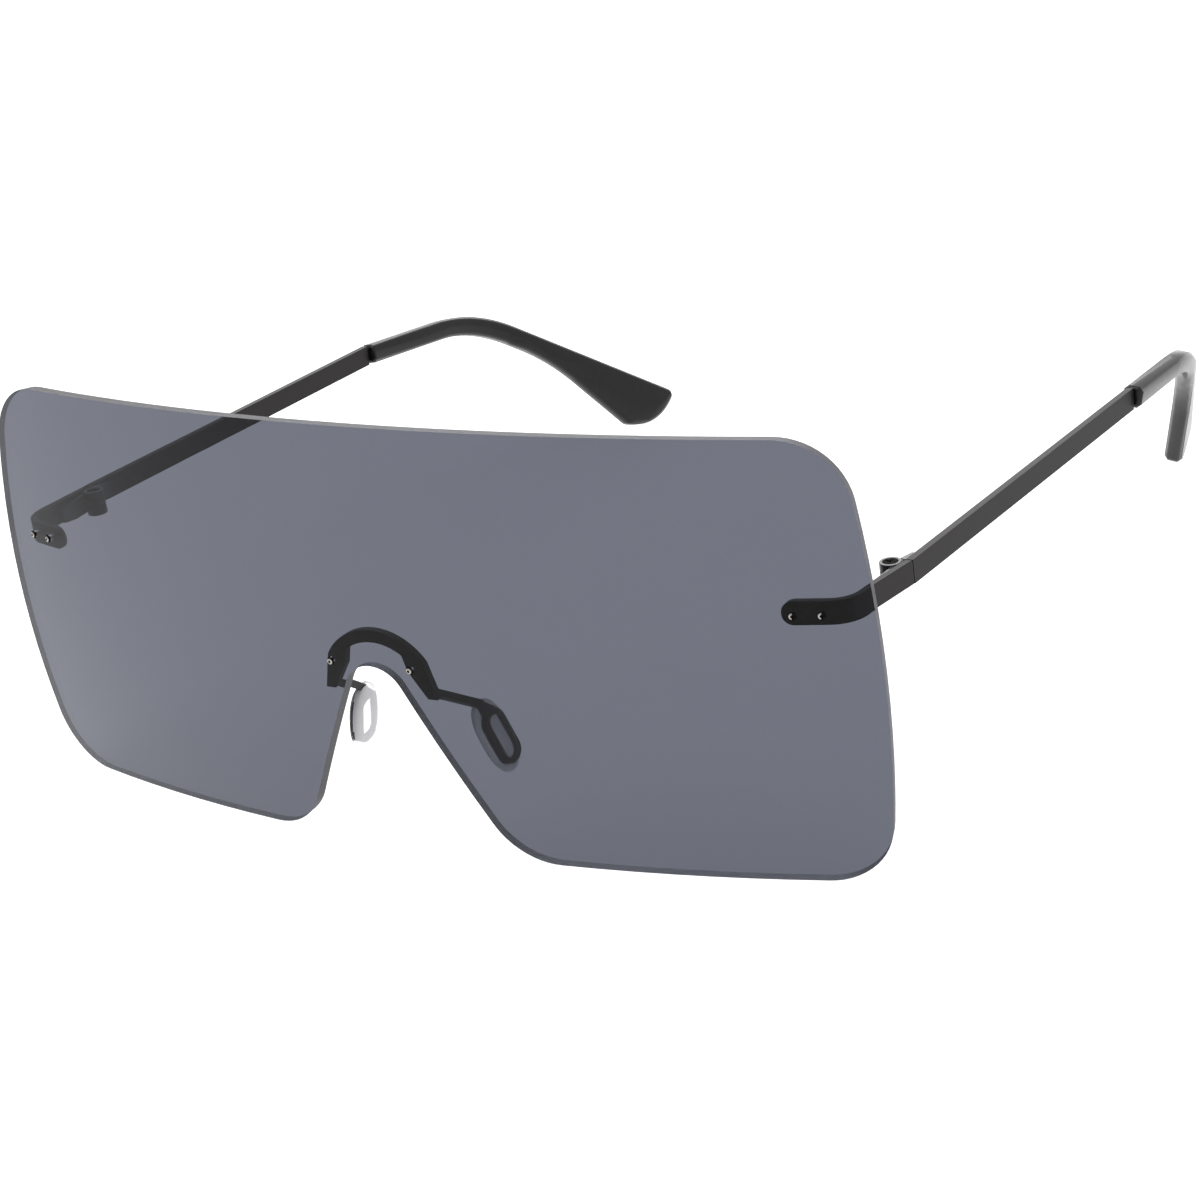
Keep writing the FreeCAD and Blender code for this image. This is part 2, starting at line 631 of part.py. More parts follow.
def make_front_leaf():
    """The left hinge half on the arm: a stepped plate with the upper and lower knuckles."""
    axis = hinge_axis()
    low = STRIP_BOTTOM_Z + LEAF_MARGIN
    top = STRIP_CENTRE_Z + STRIP_HEIGHT / 2 - LEAF_MARGIN
    start_y = SPLIT_Y - FRONT_LEAF_LENGTH
    outline = [
        (start_y, STRIP_CENTRE_Z - LEAF_THICKNESS),
        (start_y + FRONT_LEAF_STEP, low),
        (axis.y, low),
        (axis.y, top),
        (start_y, top),
    ]
    lower = stack_cylinder(KNUCKLE_DIAMETER, 0, 1 / 3, 0)
    upper = stack_cylinder(KNUCKLE_DIAMETER, 2 / 3, 1, 0)
    room = stack_cylinder(KNUCKLE_DIAMETER + 2 * LEAF_CLEARANCE, 1 / 3, 2 / 3, -KNUCKLE_GAP / 2)
    leaf = leaf_plate(outline, arm_inner_x).fuse([lower, upper]).removeSplitter()
    return leaf.cut(room).cut(pin_hole()).cut(head_seat(HINGE_HEAD_CLEARANCE)).Solids[0]


def make_temple_leaf():
    """The left hinge half on the temple: a tapered plate with the middle knuckle."""
    axis = hinge_axis()
    low = STRIP_BOTTOM_Z + LEAF_MARGIN
    high = axis.z + KNUCKLE_STACK / 2
    start_y = SPLIT_Y + BUTT_GAP
    stop_y = start_y + TEMPLE_LEAF_LENGTH
    outline = [
        (start_y, low),
        (stop_y, STRIP_CENTRE_Z - TEMPLE_LEAF_END / 2),
        (stop_y, STRIP_CENTRE_Z + TEMPLE_LEAF_END / 2),
        (start_y, high),
    ]
    knuckle = stack_cylinder(KNUCKLE_DIAMETER, 1 / 3, 2 / 3, KNUCKLE_GAP / 2)
    web_low = knuckle.BoundBox.ZMin
    web_high = knuckle.BoundBox.ZMax
    web_stop = start_y + LEAF_THICKNESS
    web_x = axis.x + KNUCKLE_DIAMETER / 2
    web = polygon([
        Vector(web_x, axis.y, web_low),
        Vector(temple_inner_x(web_stop), web_stop, web_low),
        Vector(temple_inner_x(web_stop), web_stop, web_high),
        Vector(web_x, axis.y, web_high),
    ]).extrude(Vector(-LEAF_THICKNESS, 0, 0))
    clear = KNUCKLE_DIAMETER + 2 * LEAF_CLEARANCE
    lower = stack_cylinder(clear, 0, 1 / 3, -KNUCKLE_GAP / 2)
    upper = stack_cylinder(clear, 2 / 3, 1, -KNUCKLE_GAP / 2)
    plate = leaf_plate(outline, temple_inner_x).cut(Part.makeCompound([lower, upper]))
    return plate.fuse([knuckle, web]).removeSplitter().cut(pin_hole()).Solids[0]


def make_hinge_screw():
    """The left hinge screw: a pin through the knuckles, and a sunk head with a cross recess."""
    axis = hinge_axis()
    top = axis.z + KNUCKLE_STACK / 2
    shank = stack_cylinder(HINGE_SCREW_DIAMETER, 0, 1, 0)
    screw = shank.fuse(head_seat(0)).removeSplitter()
    for length, width in ((RECESS_LENGTH, RECESS_WIDTH), (RECESS_WIDTH, RECESS_LENGTH)):
        corner = Vector(axis.x - length / 2, axis.y - width / 2, top - RECESS_DEPTH)
        screw = screw.cut(Part.makeBox(length, width, RECESS_DEPTH, corner))
    return screw.Solids[0]


def make_paddle():
    """The tip's flat end in its own plane: X runs on from the bend, and Y runs up its height."""
    half = TIP_HEIGHT / 2
    end_angle = math.radians(TIP_END_ANGLE)
    length = TIP_LENGTH - TIP_BEND_RADIUS * math.tan(tip_turn() / 2)
    back = Vector(length, half, 0)
    chord = Vector(math.cos(end_angle), math.sin(end_angle), 0)
    low = back - chord * TIP_END_LENGTH
    bulge = back - chord * (TIP_END_LENGTH / 2) - Z_AXIS.cross(chord) * TIP_END_BULGE
    flare_x = low.x + (low.y + half) / math.tan(math.radians(TIP_FLARE_ANGLE))
    flare = Vector(flare_x, -half, 0)
    corners = [back, Vector(0, half, 0), Vector(0, -half, 0), flare, low]
    edges = [Part.LineSegment(a, b).toShape() for a, b in zip(corners, corners[1:])]
    edges.append(Part.Arc(low, bulge, back).toShape())
    face = Part.Face(Part.Wire(edges))
    face.translate(Vector(0, 0, -TIP_THICKNESS / 2))
    paddle = face.extrude(Vector(0, 0, TIP_THICKNESS))
    for corner, radius in ((flare, TIP_FLARE_RADIUS), (low, TIP_LOW_RADIUS), (back, TIP_BACK_RADIUS)):
        edges = [e for e in paddle.Edges if upright_at(e, corner)]
        paddle = paddle.makeFillet(radius, edges)
    rims = [e for e in paddle.Edges if e.BoundBox.ZLength < SAME and e.BoundBox.XMax > half]
    return paddle.makeChamfer(TIP_EDGE_BEVEL, rims)


def upright_at(edge, corner):
    """Whether an edge stands square to the paddle at this corner of its outline."""
    first = edge.Vertexes[0].Point
    stands = edge.BoundBox.ZLength > TIP_THICKNESS / 2
    return stands and math.hypot(first.x - corner.x, first.y - corner.y) < SAME


def tip_heading():
    """The tip's directions before and after its bend, and the place where the two lines meet."""
    place = sleeve_frame()
    along = place.Rotation.multVec(Y_AXIS)
    bend = place.Base + along * TIP_STRAIGHT
    drop = bend.z - TIP_END_LIFT
    run = math.sqrt(TIP_LENGTH ** 2 - TIP_INSET ** 2 - drop ** 2)
    return along, unit(Vector(-TIP_INSET, run, -drop)), bend


def tip_turn():
    """The angle through which the tip bends, in radians."""
    along, onwards, bend = tip_heading()
    return along.getAngle(onwards)


def make_tip():
    """The left tip: a straight sleeve, a bend of the same section, and the flared paddle."""
    along, onwards, bend = tip_heading()
    turn = tip_turn()
    tangent = TIP_BEND_RADIUS * math.tan(turn / 2)
    axis = unit(along.cross(onwards))
    mouth = sleeve_frame().Base
    start = bend - along * tangent
    pivot = start + axis.cross(along) * TIP_BEND_RADIUS
    thick = FreeCAD.Rotation(along, -TIP_ROLL).multVec(axis * -1)
    section = bevelled_section(TIP_THICKNESS, TIP_HEIGHT, TIP_EDGE_BEVEL)
    section.Placement = frame(mouth, thick, thick.cross(along))
    sleeve = section.extrude(start - mouth)
    rim = [e for e in sleeve.Edges if abs((e.CenterOfMass - mouth).dot(along)) < TIP_MOUTH_BEVEL]
    sleeve = sleeve.makeChamfer(TIP_MOUTH_BEVEL, rim)
    section.translate(start - mouth)
    bent = section.revolve(pivot, axis, math.degrees(turn))
    paddle_out = FreeCAD.Rotation(onwards, -TIP_ROLL).multVec(axis * -1)
    paddle = make_paddle()
    paddle.Placement = frame(bend + onwards * tangent, onwards, paddle_out.cross(onwards))
    tip = sleeve.fuse([bent, paddle]).removeSplitter()
    return tip.cut(make_core(CORE_CLEARANCE)).Solids[0]


def save(name, shape, shift):
    """Writes one piece, moved so that the origin is under the middle of the part."""
    shape.translate(shift)
    shape.exportStep(os.path.join("parts", name + ".step"))


def main():
    """Makes every piece, the left ones also mirrored, and writes one file for each."""
    os.makedirs("parts", exist_ok=True)
    tip = make_tip()
    single = {
        "shield_lens": make_lens(),
        "bridge_bracket": make_bracket(),
        "bridge_screws": make_screws(BRIDGE_PLACES, BRACKET_THICKNESS),
        "bridge_bushings": make_sleeves(BRIDGE_PLACES),
    }
    paired = {
        "nose_pad": make_pad(),
        "end_piece": make_end_piece(),
        "end_piece_screws": make_screws(END_PLACES, STRIP_THICKNESS),
        "end_piece_bushings": make_sleeves(END_PLACES),
        "hinge_front_leaf": make_front_leaf(),
        "hinge_temple_leaf": make_temple_leaf(),
        "hinge_screw": make_hinge_screw(),
        "temple": make_temple(),
        "temple_tip": tip,
    }
    front = single["bridge_screws"].optimalBoundingBox().YMin
    back = tip.optimalBoundingBox().YMax
    shift = Vector(0, -(front + back) / 2, 0)
    for name, shape in single.items():
        save(name, shape, shift)
    for name, shape in paired.items():
        right = mirrored(shape)
        save(name + "_left", shape, shift)
        save(name + "_right", right, shift)


main()
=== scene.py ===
import logging
import math
from dataclasses import dataclass, replace
from enum import Enum

import bpy
import numpy as np
from mathutils import Matrix, Vector


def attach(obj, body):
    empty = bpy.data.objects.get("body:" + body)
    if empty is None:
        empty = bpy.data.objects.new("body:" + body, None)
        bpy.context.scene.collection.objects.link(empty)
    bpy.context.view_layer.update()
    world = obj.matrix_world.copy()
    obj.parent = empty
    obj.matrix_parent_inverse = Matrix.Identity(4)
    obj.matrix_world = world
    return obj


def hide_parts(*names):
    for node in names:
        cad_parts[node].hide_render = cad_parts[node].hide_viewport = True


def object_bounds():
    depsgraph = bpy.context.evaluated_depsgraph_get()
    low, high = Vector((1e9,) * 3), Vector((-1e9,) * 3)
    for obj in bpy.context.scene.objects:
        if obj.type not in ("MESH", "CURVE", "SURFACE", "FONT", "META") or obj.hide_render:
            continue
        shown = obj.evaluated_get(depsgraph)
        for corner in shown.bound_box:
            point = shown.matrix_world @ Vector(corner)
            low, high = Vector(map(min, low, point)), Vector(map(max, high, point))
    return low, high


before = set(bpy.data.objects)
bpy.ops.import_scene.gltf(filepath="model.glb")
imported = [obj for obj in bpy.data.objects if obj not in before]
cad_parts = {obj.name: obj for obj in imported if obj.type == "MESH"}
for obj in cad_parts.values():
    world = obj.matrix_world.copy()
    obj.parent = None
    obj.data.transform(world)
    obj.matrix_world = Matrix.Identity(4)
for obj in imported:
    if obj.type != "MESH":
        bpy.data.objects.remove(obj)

LOG = logging.getLogger("shield_sunglasses")
CAD_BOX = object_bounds()
FRONT_BODY = "front"

# The scene is in metres. Points less than about a micron apart count as one.
MM = 0.001
MICRON = MM * MM

# Where the Mix node has its sockets when it mixes colours
MIX_FACTOR, MIX_FIRST, MIX_SECOND, MIX_RESULT = 0, 6, 7, 2

# The noise that draws a grain: how many finer layers it has, and the strength of each next one
GRAIN_LAYERS = 4.0
GRAIN_FALLOFF = 0.55

# Metal edges that turn by more than this angle are broken, in this many steps
BROKEN_EDGE_ANGLE = math.radians(35)
BROKEN_EDGE_STEPS = 2

# Edges of the plastic tips that turn by more than this angle stay crisp
CRISP_EDGE_ANGLE = math.radians(60)


class Slot(Enum):
    """The record's material slots."""

    LENS = "smoke_lens"
    GUNMETAL = "gunmetal"
    BRIGHT_STEEL = "bright_steel"
    HINGE_STEEL = "hinge_steel"
    SLEEVE = "clear_sleeve"
    SILICONE = "clear_silicone"
    ACETATE = "black_acetate"


class Side(Enum):
    """The wearer's left or right, with the body that the temple of that side rides on."""

    LEFT = "left"
    RIGHT = "right"

    @property
    def temple_body(self) -> str:
        """The moving body of this side's temple."""
        return f"temple_{self.value}"


def linear(hex_colour: str) -> tuple[float, float, float, float]:
    """Turns an sRGB hex colour into linear light.

    Args:
        hex_colour: six hex digits after a hash.

    Returns:
        Red, green, blue and an alpha of 1.
    """
    coded = np.array([int(hex_colour[i:i + 2], 16) for i in (1, 3, 5)]) / 255.0
    light = np.where(coded <= 0.04045, coded / 12.92, ((coded + 0.055) / 1.055) ** 2.4)
    return (*light.tolist(), 1.0)


def add_node(
    tree: bpy.types.NodeTree,
    kind: str,
    settings: dict[str | int, object] | None = None,
    links: dict[str | int, bpy.types.NodeSocket] | None = None,
) -> bpy.types.Node:
    """Adds one shader node with its settings and links.

    Args:
        tree: the material's node tree.
        kind: the node's type name.
        settings: values for its inputs, or for its own properties where no input has the name.
        links: the output sockets that feed its inputs.

    Returns:
        The new node.
    """
    node = tree.nodes.new(kind)
    for key, value in (settings or {}).items():
        if isinstance(key, int) or key in node.inputs:
            node.inputs[key].default_value = value
        else:
            setattr(node, key, value)
    for key, socket in (links or {}).items():
        tree.links.new(socket, node.inputs[key])
    return node


@dataclass(frozen=True)
class Finish:
    """A finish: a common material and how its surface was made.

    The surface carries an uneven grain. It mottles the colour, tilts the surface a little and
    makes some places rougher than others.

    Attributes:
        name: the material's name.
        slot: the record's slot that it belongs to; it is not used.
        colour: one end of the mottle, as an sRGB hex value.
        second_colour: the other end.
        roughness: its mean roughness.
        roughness_spread: how far the grain takes that up and down.
        grain_mm: the grain's width.
        grain_depth: the strength of the tilt.
        metallic: 1 for bare or lacquered metal.
        ior: the index of refraction, which a metal leaves at its default.
        reflection: the tint of what it mirrors: at glancing angles on a metal, else head on.
        transmission: the share of light that goes through.
        stretch: the pattern's scale along each axis, below 1 where the grain is drawn out.
    """

    name: str
    slot: Slot
    colour: str
    second_colour: str
    roughness: float
    roughness_spread: float
    grain_mm: float
    grain_depth: float
    metallic: float = 0.0
    ior: float = 1.5
    reflection: str = "#ffffff"
    transmission: float = 0.0
    stretch: tuple[float, float, float] = (1.0, 1.0, 1.0)

    def material(self) -> bpy.types.Material:
        """Makes this finish's material, once.

        Returns:
            The material, which every piece with this finish shares.
        """
        made = bpy.data.materials.get(self.name)
        if made is not None:
            return made
        made = bpy.data.materials.new(self.name)
        made.use_nodes = True
        tree = made.node_tree
        tree.nodes.clear()
        place = add_node(tree, "ShaderNodeTexCoord")
        along = add_node(
            tree, "ShaderNodeMapping", {"Scale": self.stretch}, {"Vector": place.outputs["Object"]}
        )
        width = self.grain_mm * MM
        grain = add_node(
            tree,
            "ShaderNodeTexNoise",
            {"Scale": 1.0 / width, "Detail": GRAIN_LAYERS, "Roughness": GRAIN_FALLOFF},
            {"Vector": along.outputs["Vector"]},
        )
        tint = add_node(
            tree,
            "ShaderNodeMix",
            {
                "data_type": "RGBA",
                MIX_FIRST: linear(self.colour),
                MIX_SECOND: linear(self.second_colour),
            },
            {MIX_FACTOR: grain.outputs["Fac"]},
        )
        bump = add_node(
            tree,
            "ShaderNodeBump",
            {"Strength": self.grain_depth, "Distance": width},
            {"Height": grain.outputs["Fac"]},
        )
        settings = {
            "Metallic": self.metallic,
            "Roughness": self.roughness,
            "Specular Tint": linear(self.reflection),
            "Transmission Weight": self.transmission,
        }
        links = {"Base Color": tint.outputs[MIX_RESULT], "Normal": bump.outputs["Normal"]}
        if not self.metallic:
            settings["IOR"] = self.ior
        if self.roughness_spread:
            links["Roughness"] = add_node(
                tree,
                "ShaderNodeMapRange",
                {
                    "To Min": self.roughness - self.roughness_spread,
                    "To Max": self.roughness + self.roughness_spread,
                },
                {"Value": grain.outputs["Fac"]},
            ).outputs["Result"]
        shader = add_node(tree, "ShaderNodeBsdfPrincipled", settings, links)
        add_node(tree, "ShaderNodeOutputMaterial", None, {"Surface": shader.outputs["BSDF"]})
        return made


# Most indices of refraction below are lower than the real ones (polycarbonate 1.58, nylon 1.53,
# silicone 1.41, acetate 1.48), to match how weak edges and gleams look in the photograph.
# The metals' grains are really finer than the picture can show, so they are drawn coarser.

# Injection-moulded polycarbonate, dyed grey through its depth, polished and coated against
# reflections: it lets about an eighth of the light through, and white shows as an even grey.
# Its grain is the faint wave that moulding leaves.
SMOKE_POLYCARBONATE = Finish(
    name="smoke_polycarbonate",
    slot=Slot.LENS,
    colour="#5b5e68",
    second_colour="#5a5d67",
    roughness=0.0,
    roughness_spread=0.0,
    grain_mm=9.0,
    grain_depth=0.0005,
    ior=1.28,
    reflection="#cccccc",
    transmission=1.0,
)

# The lens's rim, ground to its outline and left matt, so that it scatters light and shows as
# a dull grey line.
GROUND_POLYCARBONATE = Finish(
    name="ground_polycarbonate",
    slot=Slot.LENS,
    colour="#4e4d52",
    second_colour="#454448",
    roughness=0.55,
    roughness_spread=0.08,
    grain_mm=0.25,
    grain_depth=0.2,
    reflection="#9a9a9a",
    transmission=0.6,
)

# Stamped steel strip with a gunmetal lacquer: a dark satin. The lacquer dulls what bare metal
# would mirror at glancing angles, so that reflection is dimmed.
GUNMETAL_LACQUER = Finish(
    name="gunmetal_lacquer",
    slot=Slot.GUNMETAL,
    colour="#333132",
    second_colour="#2b292a",
    roughness=0.36,
    roughness_spread=0.06,
    grain_mm=0.22,
    grain_depth=0.05,
    metallic=1.0,
    reflection="#d8d8d8",
)

# Polished stainless steel colour, used as a painted highlight: a small bright ring or crescent
# round each dark socket of the lens screws stands for the glint of the lamps on the domed heads.
GLINT_PAINTED_STEEL = Finish(
    name="painted_glint_steel",
    slot=Slot.BRIGHT_STEEL,
    colour="#a8a49e",
    second_colour="#96928c",
    roughness=0.12,
    roughness_spread=0.03,
    grain_mm=0.12,
    grain_depth=0.04,
    metallic=1.0,
)

# Black oxide in the sockets and on the shoulders of the lens screws: a dull porous skin with
# next to no gleam.
BLACK_OXIDE = Finish(
    name="black_oxide",
    slot=Slot.BRIGHT_STEEL,
    colour="#121111",
    second_colour="#0c0b0b",
    roughness=0.6,
    roughness_spread=0.05,
    grain_mm=0.1,
    grain_depth=0.05,
    ior=1.08,
)

# The hinge screws: black oxide, with the walls and floor of the cross recess painted bright as a
# highlight.
HINGE_OXIDE = replace(BLACK_OXIDE, name="hinge_black_oxide", slot=Slot.HINGE_STEEL)
RECESS_GLINT_PAINT = replace(GLINT_PAINTED_STEEL, name="painted_recess_glint", slot=Slot.HINGE_STEEL)

# Hinge leaves: dark steel, brushed from front to back, which draws the grain out that way.
BRUSHED_STEEL = Finish(
    name="brushed_steel",
    slot=Slot.HINGE_STEEL,
    colour="#4a4a4c",
    second_colour="#3a3a3b",
    roughness=0.3,
    roughness_spread=0.08,
    grain_mm=0.15,
    grain_depth=0.08,
    metallic=1.0,
    stretch=(1.0, 0.2, 1.0),
)

# Clear extruded nylon sleeve round each screw, which hardly shows in its hole.
CLEAR_NYLON = Finish(
    name="clear_nylon",
    slot=Slot.SLEEVE,
    colour="#f2f2f0",
    second_colour="#e6e6e4",
    roughness=0.08,
    roughness_spread=0.04,
    grain_mm=0.3,
    grain_depth=0.02,
    ior=1.15,
    transmission=1.0,
)

# The nose side of the pads: silicone moulded with a frosted skin so that it grips. It scatters
# about half of the light, which whitens the pad and pales the loop behind it.
FROSTED_SILICONE = Finish(
    name="frosted_silicone_rubber",
    slot=Slot.SILICONE,
    colour="#f4f4f6",
    second_colour="#eaeaee",
    roughness=0.15,
    roughness_spread=0.05,
    grain_mm=0.5,
    grain_depth=0.05,
    ior=1.08,
    transmission=0.45,
)

# The rest of the pads: the same silicone, moulded clear, so that the loop shows inside.
CLEAR_SILICONE = Finish(
    name="clear_silicone_rubber",
    slot=Slot.SILICONE,
    colour="#f4f4f4",
    second_colour="#e9e9ea",
    roughness=0.03,
    roughness_spread=0.02,
    grain_mm=0.9,
    grain_depth=0.03,
    ior=1.1,
    transmission=0.95,
)

# Tumble-polished black cellulose acetate of the temple tips: a soft gloss with the faint
# unevenness that tumbling leaves.
BLACK_ACETATE = Finish(
    name="black_cellulose_acetate",
    slot=Slot.ACETATE,
    colour="#100e10",
    second_colour="#161416",
    roughness=0.22,
    roughness_spread=0.04,
    grain_mm=1.6,
    grain_depth=0.012,
    ior=1.3,
)


def dress(piece: bpy.types.Object, *finishes: Finish) -> None:
    """Gives a piece its finishes and logs it. All of its faces take the first one.

    Args:
        piece: a new piece, or a CAD node that is kept.
        finishes: one for each of its mesh's material places.
    """
    piece.data.materials.clear()
    for finish in finishes:
        piece.data.materials.append(finish.material())
    words = " and ".join(finish.name for finish in finishes)
    LOG.info("%s: %d faces, %s", piece.name, len(piece.data.polygons), words)


def place_piece(
    piece: bpy.types.Object, body: str, stands_for: tuple[str, ...]
) -> None:
    """Puts a new piece on its body and in the place of its CAD nodes.

    Args:
        piece: the new piece, already where it belongs.
        body: the CAD body that it rides on.
        stands_for: the CAD nodes that it replaces.
    """
    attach(piece, body)
    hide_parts(*stands_for)


def link_mesh(name: str, mesh: bpy.types.Mesh) -> bpy.types.Object:
    """Puts a mesh into the scene.

    Args:
        name: the new object's name.
        mesh: its mesh, with its place in it.

    Returns:
        The object, at the origin.
    """
    piece = bpy.data.objects.new(name, mesh)
    bpy.context.scene.collection.objects.link(piece)
    return piece


@dataclass(frozen=True)
class NodeMesh:
    """A CAD node's triangles as arrays, with the points that its faces share merged.

    Attributes:
        points: one row for each point.
        triangles: the numbers of each triangle's three points.
        corner_normals: the CAD surface's normal at each triangle's corners.
    """

    points: np.ndarray
    triangles: np.ndarray
    corner_normals: np.ndarray

    @classmethod
    def of(cls, node: str) -> "NodeMesh":
        """Reads a CAD node.

        Args:
            node: its name.

        Returns:
            Its arrays, without the triangles that merging leaves with two corners in one place.
        """
        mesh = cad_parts[node].data
        points = np.empty(len(mesh.vertices) * 3)
        mesh.vertices.foreach_get("co", points)
        corners = np.empty(len(mesh.loops), int)
        mesh.loops.foreach_get("vertex_index", corners)
        normals = np.empty(len(mesh.loops) * 3)
        mesh.corner_normals.foreach_get("vector", normals)
        points = points.reshape(-1, 3)
        _, first, shared = np.unique(
            np.round(points / MICRON), axis=0, return_index=True, return_inverse=True
        )
        triangles = shared.reshape(-1)[corners].reshape(-1, 3)
        normals = normals.reshape(-1, 3, 3)
        whole = (triangles != np.roll(triangles, 1, axis=1)).all(axis=1)
        return cls(points[first], triangles[whole], normals[whole])

    @property
    def areas(self) -> np.ndarray:
        """Each triangle's normal, as long as twice its area."""
        a, b, c = (self.points[self.triangles[:, i]] for i in range(3))
        return np.cross(b - a, c - a)

    @property
    def middles(self) -> np.ndarray:
        """Each triangle's middle, the mean of its corners."""
        return self.points[self.triangles].mean(axis=1)

    def to_mesh(self, name: str, true_normals: bool) -> bpy.types.Mesh:
        """Makes a Blender mesh.

        Args:
            name: the mesh's name.
            true_normals: whether its corners keep the CAD surface's own normals.

        Returns:
            The mesh, shaded smooth.
        """
        mesh = bpy.data.meshes.new(name)
        mesh.from_pydata(self.points, [], self.triangles)
        mesh.shade_smooth()
        if true_normals:
            mesh.normals_split_custom_set(self.corner_normals.reshape(-1, 3))
        return mesh


def softened(node: str, name: str, edge_mm: float) -> bpy.types.Object:
    """A copy of a CAD node with its sharp edges broken, as tumbling leaves them.

    Args:
        node: the CAD node.
        name: the new piece's name.
        edge_mm: the width of the broken edge.

    Returns:
        The new piece, with a live bevel on its sharp edges.
    """
    mesh = NodeMesh.of(node).to_mesh(name, true_normals=False)
    mesh.set_sharp_from_angle(angle=BROKEN_EDGE_ANGLE)
    piece = link_mesh(name, mesh)
    bevel = piece.modifiers.new("broken_edges", "BEVEL")
    bevel.limit_method = "ANGLE"
    bevel.angle_limit = BROKEN_EDGE_ANGLE
    bevel.width = edge_mm * MM
    bevel.segments = BROKEN_EDGE_STEPS
    bevel.harden_normals = True
    return piece


def rounded(node: str, name: str) -> bpy.types.Object:
    """A copy of a bevelled CAD node whose bevels look like round edges, as polishing leaves them.

    Args:
        node: the CAD node.
        name: the new piece's name.

    Returns:
        The new piece. Its normals lean on the larger faces, so that the shading of a bevel
        runs evenly from one face to the next.
    """
    mesh = NodeMesh.of(node).to_mesh(name, true_normals=False)
    mesh.set_sharp_from_angle(angle=CRISP_EDGE_ANGLE)
    piece = link_mesh(name, mesh)
    lean = piece.modifiers.new("rounded_bevels", "WEIGHTED_NORMAL")
    lean.mode = "FACE_AREA"
    lean.keep_sharp = True
    return piece


def closed_mesh(name: str, grids: np.ndarray) -> bpy.types.Mesh:
    """A smooth mesh of closed surfaces from grids that go round in their columns.

    Each row is joined to the next by a ring of quads, and each pole to its row by a fan. The
    quads face outwards when their normals, times their way out from the middle, add up to more
    than nothing.

    Args:
        name: the mesh's name.
        grids: points as grids, rows, columns and coordinates. The first and last rows of each
            grid are its poles.

    Returns:
        The mesh, with its faces pointing outwards: the quads of all grids, then the fans.
    """
    count, rows, columns = grids.shape[:3]
    rings = grids[:, 1:-1].reshape(count, -1, 3)
    points = np.concatenate([grids[:, 0, :1], rings, grids[:, -1, :1]], axis=1)
    start = points.shape[1] * np.arange(count)[:, None, None]
    points = points.reshape(-1, 3)
    index = start + 1 + np.arange((rows - 2) * columns).reshape(rows - 2, columns)
    after = np.roll(index, -1, axis=2)
    quads = np.stack([index[:, :-1], after[:, :-1], after[:, 1:], index[:, 1:]], axis=-1)
    quads = quads.reshape(-1, 4)
    low, high = start[:, 0] + 0 * index[:, 0], index[:, -1:, -1] + 1 + 0 * index[:, 0]
    first = np.stack([low, after[:, 0], index[:, 0]], axis=-1).reshape(-1, 3)
    last = np.stack([high, index[:, -1], after[:, -1]], axis=-1).reshape(-1, 3)
    mesh = bpy.data.meshes.new(name)
    mesh.from_pydata(points, [], quads.tolist() + first.tolist() + last.tolist())
    corners = points[quads]
    outwards = np.cross(corners[:, 1] - corners[:, 0], corners[:, 2] - corners[:, 0])
    if np.einsum("ij,ij->", outwards, corners.mean(axis=1) - points.mean(axis=0)) < 0:
        mesh.flip_normals()
    mesh.shade_smooth()
    return mesh


